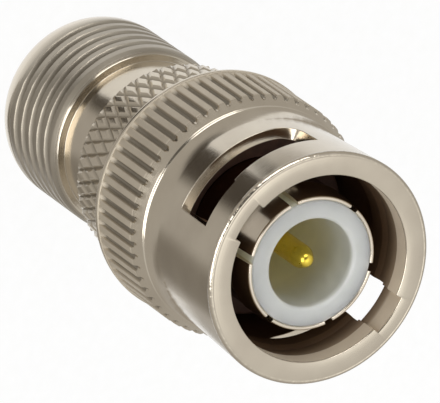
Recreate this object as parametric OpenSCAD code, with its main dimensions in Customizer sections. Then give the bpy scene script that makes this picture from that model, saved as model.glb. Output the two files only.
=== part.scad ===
// Coaxial adapter: a bayonet plug with a turning, sprung coupling nut at one end
// and a threaded jack at the other. It stands on the jack's end, with the plug's mouth up.
// Lengths in millimetres. The axis of every piece is Z.

/* [Threaded jack] */
// Major radius of the jack's outside thread
thread_r = 5.5; // [5.2:0.05:6.2]
// Pitch of that thread
thread_pitch = 0.95; // [0.85:0.01:1.2]
// Depth of its grooves
thread_depth = 0.4; // [0.2:0.02:0.45]
// Width of its crests
thread_crest = 0.24; // [0.16:0.02:0.35]
// Length of the jack from its free end to the rim at the neck
barrel_length = 7.2; // [6.5:0.1:10]
// Length of the tapered lead at the free end
thread_lead = 1.9; // [1:0.1:2.5]
// Radius of the flat ring at the free end
barrel_end_r = 4.83; // [4.5:0.01:5.1]
// Width of the chamfer at the rim
barrel_rim_chamfer = 0.24; // [0.1:0.02:0.4]
// Radius of the bore that takes the mating plug
jack_bore_r = 4.07; // [3.8:0.01:4.3]
// Depth of that bore
jack_bore_depth = 6.0; // [5:0.1:6.4]

/* [Body between jack and nut] */
// Radius of the neck
neck_r = 4.7; // [4.3:0.05:5.1]
// Length of the neck
neck_length = 3.5; // [2:0.1:6]
// Radius of the grip band
band_r = 5.95; // [5.5:0.05:6.6]
// Length of the grip band
band_length = 4.9; // [3:0.1:8]
// Chamfer at the back edge of the grip band
band_chamfer = 0.15; // [0:0.05:0.4]
// Number of grooves of each hand in the grip band's diamond pattern
band_grooves = 45; // [24:1:60]
// Angle of those grooves to the axis
band_groove_angle = 23; // [15:1:35]
// Depth of those grooves
band_groove_depth = 0.2; // [0.05:0.01:0.3]
// Radius of the spigot that the nut turns on
spigot_r = 4.6; // [4.4:0.02:5]
// Wall of the spigot
spigot_wall = 0.63; // [0.4:0.01:0.8]

/* [Coupling nut] */
// Length of the nut
nut_length = 13; // [12:0.1:16]
// Radius over the knurl
knurl_r = 7.1; // [6.95:0.05:8]
// Number of straight knurl teeth
knurl_teeth = 60; // [30:1:72]
// Depth of the knurl
knurl_depth = 0.25; // [0.1:0.01:0.4]
// Share of each tooth pitch that is groove
knurl_groove_share = 0.5; // [0.3:0.05:0.7]
// Length of the smooth rim behind the knurl
nut_rim_length = 0.4; // [0.25:0.05:1]
// How far the rim stands out over the knurl
nut_rim_height = 0.06; // [0:0.01:0.2]
// Length of the knurl from the rim to its front chamfer
knurl_length = 3.8; // [2.5:0.1:6]
// Length of the chamfer in front of the knurl
knurl_chamfer_length = 0.76; // [0.3:0.02:1.5]
// Radius at the front of that chamfer
shoulder_r = 6.66; // [6.5:0.02:6.9]
// Length of the hollow sweep from the shoulder to the sleeve
sweep_length = 1.3; // [0.6:0.05:2]
// Radius of the sleeve at its back end
sleeve_back_r = 6.4; // [6.25:0.02:6.6]
// Radius of the sleeve at the mouth
mouth_r = 6.72; // [6.5:0.02:7.2]
// Chamfer on the outer edge of the mouth
mouth_chamfer = 0.14; // [0.05:0.01:0.3]
// Radius of the chamber behind the lip
chamber_r = 5.8; // [5.7:0.02:5.9]
// Radius of the bore through the lip
lip_r = 5.4; // [5.1:0.02:5.5]
// Length of the lip's straight bore
lip_length = 1.1; // [0.5:0.05:1.6]
// Radius of the relief between the lip and the ledge behind it
relief_r = 5.6; // [5.5:0.02:5.7]
// Distance from the mouth to the back of the ledge that holds the lugs
ledge_back = 3.9; // [3.7:0.05:4.3]
// Length of the ledge's straight bore
ledge_length = 1.1; // [0.6:0.05:1.2]
// Length of the cones behind the lip and at both ends of the ledge
lip_cone_length = 0.3; // [0.15:0.05:0.4]
// Thickness of the flange that runs on the spigot
nut_flange = 1.5; // [1:0.05:2.5]

/* [Bayonet] */
// Width of the notch where a lug enters
notch_width = 2.34; // [2.05:0.02:2.6]
// Radius of the notch's floor
notch_floor_r = 5.76; // [5.55:0.02:5.78]
// How far the window beside the notch is wider than the notch, on each side
bay_side_gap = 0.12; // [0.04:0.02:0.3]
// Angle from the notch's centre to the blind end of the window
window_sweep = 61; // [45:1:75]
// Distance from the mouth to the window's edge behind the notch
bay_front = 2; // [1.8:0.02:2.1]
// Distance from the mouth to the ramp's outer edge beside the notch
window_front = 2.18; // [2.1:0.02:2.6]
// Distance from the mouth to the ramp's inner edge beside the notch
ramp_front = 3.65; // [3.3:0.05:3.7]
// Distance from the mouth to the window's back edge
window_back = 5.07; // [4.6:0.01:5.6]
// Slope of the ramp that draws the lug in
ramp_angle = 2.6; // [0:0.1:6]
// Radius of the window's blind back corner
window_corner_r = 1.2; // [0.4:0.05:1.3]

/* [Spring stack] */
// Gap between the nut's flange and the grip band
nut_end_play = 0.1; // [0.05:0.01:0.3]
// Thickness of the thrust washer
washer_thickness = 0.4; // [0.2:0.05:0.8]
// Free height of the wave spring
spring_height = 1.3; // [1.1:0.05:1.8]
// Thickness of the wave spring's strip
spring_strip = 0.25; // [0.15:0.01:0.35]
// Number of waves in the spring
spring_waves = 3; // [2:1:5]
// How far the flange of the outer contact stays inside the chamber wall
stack_side_gap = 0.5; // [0.4:0.02:0.6]

/* [Outer contact] */
// Thickness of the flange that holds the spring
contact_flange = 1.2; // [0.8:0.05:2]
// Wall of the sleeve and its fingers
sleeve_wall = 0.3; // [0.2:0.01:0.4]
// Distance from the mouth back to the finger tips
tip_recess = 0.87; // [0.4:0.01:1.5]
// Number of spring fingers
finger_count = 6; // [4:1:8]
// Width of the slots between fingers
finger_slot = 0.4; // [0.2:0.02:0.6]
// Length of those slots
finger_length = 5.2; // [3:0.1:6.5]
// Height of the contact bead near the finger tips
bead_height = 0.1; // [0.02:0.01:0.15]
// Length of the bead's taper on each side
bead_length = 0.9; // [0.4:0.05:1.5]
// Thickness of the gasket
gasket_thickness = 1.2; // [0.5:0.05:2]

/* [Insulators] */
// Radius of the cavity in the plug's insulator
cavity_r = 2.58; // [2.3:0.02:2.9]
// Depth of that cavity
cavity_depth = 7; // [5:0.1:8]
// Chamfer at the cavity's mouth
cavity_chamfer = 0.12; // [0.02:0.02:0.3]
// Radius of the body's inner seat for the jack's insulator
insulator_seat_r = 3.3; // [3:0.02:3.5]
// Radius of the jack insulator's nose
nose_r = 2.4; // [2.2:0.02:2.5]
// Distance from the free end to the tip of that nose
nose_recess = 1.6; // [0.8:0.1:2.5]

/* [Centre contact] */
// Radius of the plug's pin
pin_r = 0.675; // [0.6:0.005:0.75]
// Distance from the mouth back to the tip of the pin
pin_recess = 1.2; // [0.8:0.05:2]
// Length of the taper at the pin's tip
pin_taper = 0.8; // [0.4:0.05:1.2]
// Radius of the pin's tip
pin_tip_r = 0.3; // [0.15:0.01:0.5]
// Radius of the shank between pin and socket
shank_r = 1; // [0.85:0.01:1.08]
// Radius of the collar held between the insulators
collar_r = 1.5; // [1.3:0.02:1.8]
// Thickness of that collar
collar_thickness = 1.2; // [0.6:0.05:1.6]
// Outer radius of the jack's socket
socket_r = 1.1; // [1.02:0.01:1.2]
// Radius of the socket's bore
socket_bore_r = 0.69; // [0.65:0.005:0.75]
// Depth of the socket's bore
socket_depth = 4.5; // [3:0.1:5.5]
// Width of the socket's slits
socket_slit = 0.22; // [0.1:0.02:0.25]
// Distance from the nose's tip back to the socket's mouth
socket_recess = 0.2; // [0.05:0.05:0.6]

/* [Clearances] */
// Radial gap of the nut on its spigot
running_gap = 0.05; // [0.02:0.01:0.1]
// Radial gap between pieces that are pressed or bonded together
seat_gap = 0.02; // [0.01:0.01:0.05]
// Gap between stacked flat faces
face_gap = 0.02; // [0.01:0.01:0.05]

/* [Hidden] */
$fn = 96;
cut_margin = 1;
nickel = [0.66, 0.63, 0.58];
dark_steel = [0.42, 0.42, 0.40];
white_plastic = [0.86, 0.88, 0.88];
gold = [0.80, 0.62, 0.20];
seal_rubber = [0.30, 0.27, 0.25];

// Heights of the body, from the free end of the jack
rim_z = barrel_length;
band_back_z = rim_z + neck_length;
band_front_z = band_back_z + band_length;
// Heights of the nut and of the stack that it holds
nut_back_z = band_front_z + nut_end_play;
nut_floor_z = nut_back_z + nut_flange;
washer_z = nut_floor_z + face_gap;
spring_z = washer_z + washer_thickness + face_gap;
flange_z = spring_z + spring_height + face_gap;
gasket_z = flange_z + contact_flange + face_gap;
mouth_z = nut_back_z + nut_length;
// Heights of the nut's outside, from the back of the nut
knurl_front_h = nut_rim_length + knurl_length;
shoulder_h = knurl_front_h + knurl_chamfer_length;
sleeve_h = shoulder_h + sweep_length;
// Heights inside the body
tip_z = mouth_z - tip_recess;
cavity_floor_z = tip_z - cavity_depth;
insulator_joint_z = band_back_z + band_length / 4;
nose_z = nose_recess;
socket_z = nose_z + socket_recess;
collar_back_z = insulator_joint_z - collar_thickness / 2;
collar_front_z = collar_back_z + collar_thickness;
pin_tip_z = mouth_z - pin_recess;
// Radii that follow from a neighbour
nut_bore_r = spigot_r + running_gap;
contact_seat_r = spigot_r - spigot_wall;
sleeve_r = contact_seat_r - seat_gap;
sleeve_bore_r = sleeve_r - sleeve_wall;
plug_insulator_r = sleeve_bore_r - seat_gap;
jack_insulator_r = insulator_seat_r - seat_gap;
stack_r = chamber_r - stack_side_gap;
rim_r = knurl_r + nut_rim_height;
// Angles of the bayonet
notch_half_angle = asin(notch_width / 2 / notch_floor_r);
bay_half_angle = asin((notch_width / 2 + bay_side_gap) / notch_floor_r);
wall_mid_r = (chamber_r + mouth_r) / 2;
corner_angle = window_corner_r / wall_mid_r * 180 / PI;
knurl_pitch = 360 / knurl_teeth;
knurl_groove_width = 2 * (knurl_r - knurl_depth) * sin(knurl_pitch * knurl_groove_share / 2);

// A flat ring of the given thickness, standing on height z
module ring(outer_r, inner_r, z, thickness) {
    rotate_extrude()
        translate([inner_r, z])
            square([outer_r - inner_r, thickness]);
}

// The part of a tube wall between two angles
module wall_sector(inner_r, outer_r, from_angle, to_angle, z_low, z_high) {
    rotate([0, 0, from_angle])
        rotate_extrude(angle = to_angle - from_angle)
            translate([inner_r, z_low])
                square([outer_r - inner_r, z_high - z_low]);
}

// Profile of the thread's grooves, as rings one pitch apart between the lead and the rim
function thread_profile() =
    let (
        run = rim_z - barrel_rim_chamfer - thread_lead,
        grooves = floor((run - thread_crest) / thread_pitch),
        open_width = thread_pitch - thread_crest,
        flank = thread_depth * tan(30)
    )
        [
            for (i = [0 : grooves - 1])
                let (z = thread_lead + thread_crest + i * thread_pitch)
                    each [
                        [thread_r, z],
                        [thread_r - thread_depth, z + flank],
                        [thread_r - thread_depth, z + open_width - flank],
                        [thread_r, z + open_width]
                    ]
        ];

// Turned body: threaded jack, neck, grip band and the spigot that carries the nut
module main_body_turning() {
    rotate_extrude()
        polygon(concat(
            [
                [jack_bore_r, 0],
                [barrel_end_r, 0],
                [(barrel_end_r + 2 * thread_r) / 3, thread_lead / 3],
                [thread_r, thread_lead]
            ],
            thread_profile(),
            [
                [thread_r, rim_z - barrel_rim_chamfer],
                [thread_r - barrel_rim_chamfer, rim_z],
                [neck_r, rim_z],
                [neck_r, band_back_z],
                [band_r - band_chamfer, band_back_z],
                [band_r, band_back_z + band_chamfer],
                [band_r, band_front_z],
                [spigot_r, band_front_z],
                [spigot_r, flange_z - face_gap],
                [contact_seat_r, flange_z - face_gap],
                [contact_seat_r, insulator_joint_z],
                [insulator_seat_r, insulator_joint_z],
                [insulator_seat_r, jack_bore_depth],
                [jack_bore_r, jack_bore_depth]
            ]
        ));
}

// One straight V groove laid along the helix of the diamond pattern, at angle 0
module band_groove(hand) {
    run = (band_length + 2 * cut_margin) / cos(band_groove_angle);
    rise = run * sin(band_groove_angle) / 2;
    clear_r = sqrt(band_r * band_r + rise * rise) - band_r;
    half_width = band_groove_depth + clear_r;
    translate([band_r, 0, (band_back_z + band_front_z) / 2])
        rotate([hand * band_groove_angle, 0, 0])
            linear_extrude(height = run, center = true)
                polygon([
                    [-band_groove_depth, 0],
                    [clear_r, half_width],
                    [clear_r, -half_width]
                ]);
}

module main_body() {
    color(nickel)
        difference() {
            main_body_turning();
            for (hand = [-1, 1], i = [0 : band_grooves - 1])
                rotate([0, 0, i * 360 / band_grooves])
                    band_groove(hand);
        }
}

// Outside of the nut: rim, knurl land, chamfer, hollow sweep and slightly flared sleeve
module coupling_nut_turning() {
    sweep_steps = 4;
    sweep_depth = shoulder_r - sleeve_back_r;
    translate([0, 0, nut_back_z])
        rotate_extrude()
            polygon(concat(
                [
                    [nut_bore_r, 0],
                    [rim_r - mouth_chamfer, 0],
                    [rim_r, mouth_chamfer],
                    [rim_r, nut_rim_length],
                    [knurl_r, nut_rim_length],
                    [knurl_r, knurl_front_h]
                ],
                [
                    for (i = [0 : sweep_steps])
                        let (turn = 90 * i / sweep_steps)
                            [
                                shoulder_r - sweep_depth * sin(turn),
                                shoulder_h + sweep_length * (1 - cos(turn))
                            ]
                ],
                [
                    [mouth_r, nut_length - mouth_chamfer],
                    [mouth_r - mouth_chamfer, nut_length],
                    [lip_r, nut_length],
                    [lip_r, nut_length - lip_length],
                    [relief_r, nut_length - lip_length - lip_cone_length],
                    [relief_r, nut_length - ledge_back + ledge_length + lip_cone_length],
                    [lip_r, nut_length - ledge_back + ledge_length],
                    [lip_r, nut_length - ledge_back],
                    [chamber_r, nut_length - ledge_back - lip_cone_length],
                    [chamber_r, nut_flange],
                    [nut_bore_r, nut_flange]
                ]
            ));
}

// One knurl groove at angle 0, open at the front chamfer and ramped at the rim
module knurl_groove() {
    root_r = knurl_r - knurl_depth;
    translate([0, knurl_groove_width / 2, nut_back_z])
        rotate([90, 0, 0])
            linear_extrude(height = knurl_groove_width)
                polygon([
                    [knurl_r, nut_rim_length],
                    [root_r, nut_rim_length + knurl_depth],
                    [root_r, shoulder_h + cut_margin],
                    [knurl_r + cut_margin, shoulder_h + cut_margin],
                    [knurl_r + cut_margin, nut_rim_length]
                ]);
}

// Lug notch through the lip and the ledge, centred on +Y
module lug_notch() {
    wall_sector(lip_r - cut_margin, notch_floor_r, 90 - notch_half_angle, 90 + notch_half_angle,
        mouth_z - ledge_back - lip_cone_length - cut_margin, mouth_z + cut_margin);
}

// What stays beyond the window's blind end, with the rounded back corner, at angle 0
module blind_end_stock(height) {
    steps = 6;
    reach = 2 * window_corner_r + cut_margin;
    function corner_arc(i) = window_corner_r * [-sin(90 * i / steps), 1 - cos(90 * i / steps)];
    rotate([90, 0, 90])
        linear_extrude(height = mouth_r + 2 * cut_margin)
            polygon(concat(
                [-corner_arc(1)],
                [for (i = [1 : steps]) corner_arc(i)],
                [
                    [-window_corner_r, height + cut_margin],
                    [-reach, height + cut_margin],
                    [-reach, -cut_margin],
                    [-corner_arc(1)[0], -cut_margin]
                ]
            ));
}

// What stays in front of the ramp: it slopes from the notch to the blind end, and leans back towards the axis
module ramp_stock(from_angle, to_angle) {
    inner_r = lip_r - 2 * cut_margin;
    outer_r = mouth_r + 2 * cut_margin;
    edge_r = (sleeve_back_r + mouth_r) / 2;
    ramp_half_run = wall_mid_r * sin((to_angle - from_angle) / 2);
    function lean(r) = (r - edge_r) * (ramp_front - window_front) / (edge_r - lip_r);
    intersection() {
        wall_sector(inner_r, outer_r, from_angle - corner_angle, to_angle,
            mouth_z - window_back, mouth_z + cut_margin);
        rotate([0, 0, (from_angle + to_angle) / 2])
            translate([0, 0, mouth_z - window_front - ramp_half_run * tan(ramp_angle)])
                rotate([ramp_angle, 0, 0])
                    rotate_extrude()
                        polygon([
                            [inner_r - cut_margin, lean(inner_r - cut_margin)],
                            [outer_r + cut_margin, lean(outer_r + cut_margin)],
                            [outer_r + cut_margin, nut_length],
                            [inner_r - cut_margin, nut_length]
                        ]);
    }
}

// Bayonet window through the wall, from the notch on +Y to its blind end
module bayonet_window() {
    back_z = mouth_z - window_back;
    bay_z = mouth_z - bay_front;
    blind_angle = 90 - window_sweep;
    difference() {
        wall_sector(lip_r - cut_margin, mouth_r + cut_margin, blind_angle - corner_angle / 2,
            90 + bay_half_angle, back_z, bay_z);
        ramp_stock(blind_angle, 90 - bay_half_angle);
        translate([0, 0, back_z])
            rotate([0, 0, blind_angle + corner_angle])
                blind_end_stock(window_back);
    }
}

module coupling_nut() {
    color(nickel)
        difference() {
            coupling_nut_turning();
            for (i = [0 : knurl_teeth - 1])
                rotate([0, 0, i * knurl_pitch])
                    knurl_groove();
            for (side = [0, 180])
                rotate([0, 0, side]) {
                    lug_notch();
                    bayonet_window();
                }
        }
}

module thrust_washer() {
    color(dark_steel)
        ring(stack_r, nut_bore_r, washer_z, washer_thickness);
}

// Wave spring: a strip ring whose height follows a sine wave
module wave_spring() {
    steps = 24 * spring_waves;
    lift = (spring_height - spring_strip) / 2;
    function strip_z(i) = spring_z + lift * (1 + sin(360 * spring_waves * i / steps));
    function corner(r, i, z) = [r * cos(360 * i / steps), r * sin(360 * i / steps), z];
    points = [
        for (i = [0 : steps - 1])
            each [
                corner(nut_bore_r, i, strip_z(i)),
                corner(stack_r, i, strip_z(i)),
                corner(stack_r, i, strip_z(i) + spring_strip),
                corner(nut_bore_r, i, strip_z(i) + spring_strip)
            ]
    ];
    faces = [
        for (i = [0 : steps - 1], k = [0 : 3])
            let (here = 4 * i, next = 4 * ((i + 1) % steps), turn = (k + 1) % 4)
                each [[here + k, here + turn, next + turn], [here + k, next + turn, next + k]]
    ];
    color(dark_steel)
        polyhedron(points, faces, convexity = 4);
}

// Slotted sleeve with a flange that traps the spring and the nut
module outer_contact() {
    slot_z = tip_z - finger_length;
    bead_top = tip_z - bead_length / 4;
    color(nickel)
        difference() {
            rotate_extrude()
                polygon([
                    [sleeve_bore_r, insulator_joint_z + face_gap],
                    [sleeve_r, insulator_joint_z + face_gap],
                    [sleeve_r, flange_z],
                    [stack_r, flange_z],
                    [stack_r, flange_z + contact_flange],
                    [sleeve_r, flange_z + contact_flange],
                    [sleeve_r, bead_top - 2 * bead_length],
                    [sleeve_r + bead_height, bead_top - bead_length],
                    [sleeve_r, bead_top],
                    [sleeve_r - sleeve_wall / 4, tip_z],
                    [sleeve_bore_r, tip_z]
                ]);
            for (i = [0 : finger_count - 1])
                rotate([0, 0, i * 360 / finger_count])
                    translate([sleeve_bore_r - sleeve_wall, -finger_slot / 2, slot_z])
                        cube([3 * sleeve_wall, finger_slot, finger_length + cut_margin]);
        }
}

module gasket() {
    color(seal_rubber)
        ring(stack_r, sleeve_r + seat_gap, gasket_z, gasket_thickness);
}

module plug_insulator() {
    color(white_plastic)
        rotate_extrude()
            polygon([
                [collar_r + seat_gap, insulator_joint_z + face_gap],
                [plug_insulator_r, insulator_joint_z + face_gap],
                [plug_insulator_r, tip_z],
                [cavity_r + cavity_chamfer, tip_z],
                [cavity_r, tip_z - cavity_chamfer],
                [cavity_r, cavity_floor_z],
                [shank_r + seat_gap, cavity_floor_z],
                [shank_r + seat_gap, collar_front_z + face_gap],
                [collar_r + seat_gap, collar_front_z + face_gap]
            ]);
}

// One contact right through: pin in the plug, collar between the insulators, slit socket in the jack
module centre_contact() {
    color(gold)
        difference() {
            rotate_extrude()
                polygon([
                    [socket_bore_r, socket_z],
                    [socket_r, socket_z],
                    [socket_r, collar_back_z],
                    [collar_r, collar_back_z],
                    [collar_r, collar_front_z],
                    [shank_r, collar_front_z],
                    [shank_r, cavity_floor_z],
                    [pin_r, cavity_floor_z],
                    [pin_r, pin_tip_z - pin_taper],
                    [pin_tip_r, pin_tip_z],
                    [0, pin_tip_z],
                    [0, socket_z + socket_depth],
                    [socket_bore_r, socket_z + socket_depth]
                ]);
            translate([-socket_slit / 2, -socket_r - cut_margin, socket_z - cut_margin])
                cube([socket_slit, 2 * (socket_r + cut_margin), socket_depth]);
        }
}

module jack_insulator() {
    bore_r = socket_r + seat_gap;
    color(white_plastic)
        rotate_extrude()
            polygon([
                [bore_r, nose_z],
                [nose_r, nose_z],
                [nose_r, jack_bore_depth],
                [jack_insulator_r, jack_bore_depth],
                [jack_insulator_r, insulator_joint_z],
                [collar_r + seat_gap, insulator_joint_z],
                [collar_r + seat_gap, collar_back_z - face_gap],
                [bore_r, collar_back_z - face_gap]
            ]);
}

main_body();
coupling_nut();
thrust_washer();
wave_spring();
outer_contact();
gasket();
plug_insulator();
centre_contact();
jack_insulator();
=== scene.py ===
"""Looks of the coaxial adapter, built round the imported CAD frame.

Lengths are in millimetres until a mesh is made. A profile is a list of (radius, height).
"""

import math
from collections import namedtuple

import bpy
import numpy as np
from mathutils import Matrix, Vector


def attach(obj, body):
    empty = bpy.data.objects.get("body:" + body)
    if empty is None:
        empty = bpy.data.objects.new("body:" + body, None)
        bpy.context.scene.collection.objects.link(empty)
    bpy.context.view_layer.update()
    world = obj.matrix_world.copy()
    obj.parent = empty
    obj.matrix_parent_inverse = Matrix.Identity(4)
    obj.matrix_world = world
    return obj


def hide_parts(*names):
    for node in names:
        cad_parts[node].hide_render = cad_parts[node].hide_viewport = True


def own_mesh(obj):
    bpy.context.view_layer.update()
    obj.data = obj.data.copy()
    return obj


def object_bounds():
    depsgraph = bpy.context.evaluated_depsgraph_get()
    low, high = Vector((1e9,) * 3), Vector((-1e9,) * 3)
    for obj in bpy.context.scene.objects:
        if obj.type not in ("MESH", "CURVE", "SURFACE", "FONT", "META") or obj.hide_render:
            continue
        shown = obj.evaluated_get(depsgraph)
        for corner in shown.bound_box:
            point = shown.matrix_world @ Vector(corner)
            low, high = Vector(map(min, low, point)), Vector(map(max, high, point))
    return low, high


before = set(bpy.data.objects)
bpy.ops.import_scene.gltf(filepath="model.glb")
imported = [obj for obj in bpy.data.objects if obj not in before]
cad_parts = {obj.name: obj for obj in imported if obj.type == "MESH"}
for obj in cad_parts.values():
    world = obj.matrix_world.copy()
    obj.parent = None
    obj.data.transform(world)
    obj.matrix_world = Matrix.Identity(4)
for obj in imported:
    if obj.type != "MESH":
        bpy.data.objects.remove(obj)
cad_low, cad_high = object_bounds()

MM = 0.001
TAU = 2 * math.pi
QUARTER = math.pi / 2

# Heights on the axis that several pieces share
MOUTH = round(cad_high[2] / MM, 3)
NUT_LENGTH = 13.0
NUT_BACK = MOUTH - NUT_LENGTH
TIP = MOUTH - 0.87
BAND_BACK, BAND_FRONT = 10.7, 15.6
WEB_BACK, WEB_FRONT = 6.0, 11.925
SPIGOT_FRONT = 18.94
CAVITY_FLOOR = 20.83
# Radii that several pieces share, and the play left at a pressed seat
SLEEVE_R, SLEEVE_BORE, STACK_R = 3.95, 3.65, 5.3
SOCKET_R, COLLAR_R, PIN_R = 1.1, 1.5, 0.675
SEAT_PLAY = 0.02


# Meshes


class Skin:
    """Collects the vertices and faces of one piece. A profile drawn upwards faces outwards."""

    def __init__(self):
        self.blocks, self.count = [], 0
        self.faces, self.bevelled = [], []

    def add(self, radius, angle, height):
        """Vertices in cylinder coordinates. The arguments broadcast, and the indices have that shape."""
        values = [np.asarray(value, float) for value in (radius, angle, height)]
        radius, angle, height = np.broadcast_arrays(*values)
        points = np.stack([radius * np.cos(angle), radius * np.sin(angle), height], -1)
        index = np.arange(radius.size).reshape(radius.shape) + self.count
        self.blocks.append(points.reshape(-1, 3))
        self.count += radius.size
        return index

    def turn(self, profile, angles):
        """Rings of vertices, one for each point of the profile."""
        profile = np.array(profile, float)
        return self.add(profile[:, :1], angles[None, :], profile[:, 1:])

    def join(self, *corners):
        """Faces from arrays of indices that run side by side."""
        self.faces.extend(zip(*(corner.ravel().tolist() for corner in corners)))

    def rim(self, a, b, keep=slice(None)):
        """Faces from ring a to ring b of the same length, only at the columns in keep."""
        self.join(a[keep], np.roll(a, -1)[keep], np.roll(b, -1)[keep], b[keep])

    def bridge(self, a, b):
        """Faces from ring a to the next ring b, also where b has another number of vertices."""
        if len(a) == len(b):
            self.rim(a, b)
            return
        i = j = 0
        while i < len(a) or j < len(b):
            here_a, here_b = int(a[i % len(a)]), int(b[j % len(b)])
            if (i + 1) * len(b) <= (j + 1) * len(a) and i < len(a):
                i += 1
                self.faces.append((here_a, int(a[i % len(a)]), here_b))
            else:
                j += 1
                self.faces.append((here_a, int(b[j % len(b)]), here_b))

    def chain(self, rings):
        for a, b in zip(rings, rings[1:]):
            self.bridge(a, b)

    def cap(self, ring, height, up):
        """Closes a ring with a fan about the axis."""
        centre = int(self.add(0.0, 0.0, height))
        for a, b in zip(ring.tolist(), np.roll(ring, -1).tolist()):
            self.faces.append((a, b, centre) if up else (b, a, centre))

    def shell(self, outer, inner, hole):
        """Faces of an outer and an inner grid, whose rows run from the back, and walls round the hole."""
        for row, solid in enumerate(~hole):
            self.rim(outer[row], outer[row + 1], solid)
            self.rim(inner[row + 1], inner[row], solid)
        last_row = len(hole) - 1
        for row, column in zip(*np.nonzero(hole)):
            after = (column + 1) % hole.shape[1]
            left = (row + 1, column), (row, column)
            right = (row, after), (row + 1, after)
            walls = []
            if row > 0 and not hole[row - 1, column]:
                walls.append((left[1], right[0]))
            if row < last_row and not hole[row + 1, column]:
                walls.append((right[1], left[0]))
            if not hole[row, column - 1]:
                walls.append(left)
            if not hole[row, after]:
                walls.append(right)
            for start, end in walls:
                wall = [int(v) for v in (outer[start], outer[end], inner[end], inner[start])]
                self.faces.append(tuple(wall))
                self.bevelled += [(wall[0], wall[1]), (wall[2], wall[3])]

    def break_edges(self, obj, width):
        """A narrow bevel along the edges that were noted."""
        mesh = obj.data
        wanted = {tuple(sorted(edge)) for edge in self.bevelled}
        ends = np.zeros(len(mesh.edges) * 2, np.int32)
        mesh.edges.foreach_get("vertices", ends)
        values = [float(tuple(sorted(edge)) in wanted) for edge in ends.reshape(-1, 2).tolist()]
        weights = mesh.attributes.new("bevel_weight_edge", "FLOAT", "EDGE")
        weights.data.foreach_set("value", values)
        modifier = obj.modifiers.new("edge_break", "BEVEL")
        modifier.limit_method = "WEIGHT"
        modifier.width = width * MM
        modifier.segments = 2
        modifier.harden_normals = True

    def piece(self, name, material, body, slot, node, sharp, bevel=0.0):
        """Makes the mesh object, gives it to its CAD body and lets it stand for its CAD node."""
        mesh = bpy.data.meshes.new(name)
        mesh.from_pydata((np.vstack(self.blocks) * MM).tolist(), [], self.faces)
        mesh.polygons.foreach_set("use_smooth", [True] * len(mesh.polygons))
        mesh.set_sharp_from_angle(angle=math.radians(sharp))
        mesh.materials.append(material)
        obj = bpy.data.objects.new(name, mesh)
        bpy.context.scene.collection.objects.link(obj)
        if bevel:
            self.break_edges(obj, bevel)
        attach(obj, body)
        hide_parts(node)
        return obj


def circle(count):
    return np.arange(count) * TAU / count


def curve(start, corner, end, steps):
    """Points on a curve that leaves start towards corner and reaches end from it."""
    start, corner, end = (np.array(point, float) for point in (start, corner, end))
    shares = np.linspace(0, 1, steps + 1)
    return [(1 - t) ** 2 * start + 2 * t * (1 - t) * corner + t * t * end for t in shares]


def quarter_arc(centre, across, along, steps):
    """Points on a quarter of an ellipse, from the end of one radius to the end of the other."""
    bends = np.linspace(0, QUARTER, steps + 1)
    return [(centre[0] + across * math.cos(t), centre[1] + along * math.sin(t)) for t in bends]


def rounded(points, sizes, steps=4, closed=True):
    """A profile with each corner rounded by its size. One step is a chamfer. An open one keeps its ends."""
    most_of_leg = 0.45
    points = [np.array(point, float) for point in points]
    sizes = np.broadcast_to(sizes, len(points))
    out = []
    for k, here in enumerate(points):
        to_last, to_next = points[k - 1] - here, points[(k + 1) % len(points)] - here
        last_leg, next_leg = np.linalg.norm(to_last), np.linalg.norm(to_next)
        size = min(sizes[k], most_of_leg * last_leg, most_of_leg * next_leg)
        is_end = not closed and k in (0, len(points) - 1)
        if is_end or size == 0:
            out.append(here)
            continue
        start, end = here + to_last / last_leg * size, here + to_next / next_leg * size
        out += curve(start, here, end, steps)
    return out


def lathe(points, sizes, columns, steps=4, wave=0.0):
    """A ring from a closed profile, drawn up the outside and down the inside. wave lifts its columns."""
    skin = Skin()
    angles = circle(columns)
    rings = [skin.add(radius, angles, height + wave) for radius, height in rounded(points, sizes, steps)]
    skin.chain(rings + rings[:1])
    return skin


def resample(points, count):
    """The polyline with extra points on its longest legs, until it has count points."""
    points = [np.array(point, float) for point in points]
    while len(points) < count:
        legs = [np.linalg.norm(b - a) for a, b in zip(points, points[1:])]
        k = int(np.argmax(legs))
        points.insert(k + 1, (points[k] + points[k + 1]) / 2)
    return points


def smooth(low, high, x):
    t = np.clip((np.asarray(x, float) - low) / (high - low), 0, 1)
    return t * t * (3 - 2 * t)


# Materials

# Half the width over which a zone of a material fades out
ZONE_FADE = 0.03
# Depth of the finest bump, in metres
FINE_BUMP = 0.00002

# Grooved zone: its heights and roughness, the radii of the bottoms and the tops, and the bottoms' share of
# the colour, a painted shade in the grooves
Grooved = namedtuple("Grooved", "low high rough bottom top shade")
# Bore: its radius, its roughness where polish doesn't reach, and its painted light and shade against the
# height
Bore = namedtuple("Bore", "radius rough tints")
# Dented edge: the heights between which it lies, and its least radius
Dented = namedtuple("Dented", "low high radius")


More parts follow.
